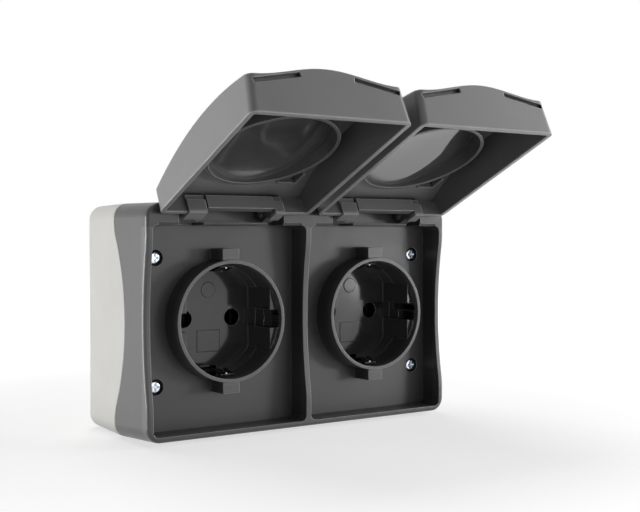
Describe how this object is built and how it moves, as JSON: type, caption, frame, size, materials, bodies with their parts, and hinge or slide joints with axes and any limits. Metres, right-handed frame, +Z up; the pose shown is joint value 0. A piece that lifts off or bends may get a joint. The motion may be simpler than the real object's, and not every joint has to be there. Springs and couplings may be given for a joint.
{
  "type": "outdoor weatherproof socket",
  "caption": "Surface-mounted weatherproof earthed wall socket with side-by-side recesses, each under its own upward-opening hinged lid.",
  "frame": {"origin": "on the wall face, midway between the two sockets at the height of their pins", "axes": "+X along the wall to the right as seen from the front, +Y into the wall, +Z up"},
  "size_m": [0.1274, 0.1107, 0.1183],
  "materials": {
    "light_grey_shell": "matt light grey moulding",
    "dark_grey_cover": "fine satin dark grey moulding",
    "dark_grey_lid": "satin dark grey moulding, polished inside the ring",
    "recess_plastic": "dark grey thermoplastic",
    "black_insulator": "black insulating moulding",
    "zinc_plated_steel": "bright zinc plating",
    "spring_steel": "bright spring wire and pins",
    "contact_brass": "stamped brass",
    "seal_rubber": "soft black rubber",
    "grommet_rubber": "soft grey rubber"
  },
  "bodies": {
    "housing": {"back_box": "light_grey_shell", "contact_block_left": "black_insulator", "contact_block_right": "black_insulator", "cover_frame": "dark_grey_cover", "cover_screws": "zinc_plated_steel", "earth_link": "contact_brass", "earth_strap_left": "contact_brass", "earth_strap_right": "contact_brass", "frame_seal": "seal_rubber", "grommet_bottom": "grommet_rubber", "grommet_top": "grommet_rubber", "hinge_pins_left": "spring_steel", "hinge_pins_right": "spring_steel", "insert_screws": "zinc_plated_steel", "lid_spring_left": "spring_steel", "lid_spring_right": "spring_steel", "line_contact_left": "contact_brass", "line_contact_right": "contact_brass", "line_link": "contact_brass", "neutral_contact_left": "contact_brass", "neutral_contact_right": "contact_brass", "neutral_link": "contact_brass", "recess_cup_left": "recess_plastic", "recess_cup_right": "recess_plastic", "terminal_screws": "zinc_plated_steel"},
    "left_lid": {"lid_left": "dark_grey_lid"},
    "right_lid": {"lid_right": "dark_grey_lid"}
  },
  "joints": [
    {"name": "left_lid_hinge", "type": "hinge", "parent": "housing", "child": "left_lid", "pos_m": [-0.03087, -0.0445, 0.0364], "axis": [1, 0, 0], "range_deg": [0, 115.2]},
    {"name": "right_lid_hinge", "type": "hinge", "parent": "housing", "child": "right_lid", "pos_m": [0.03087, -0.0445, 0.0364], "axis": [1, 0, 0], "range_deg": [0, 115.2]}
  ]
}
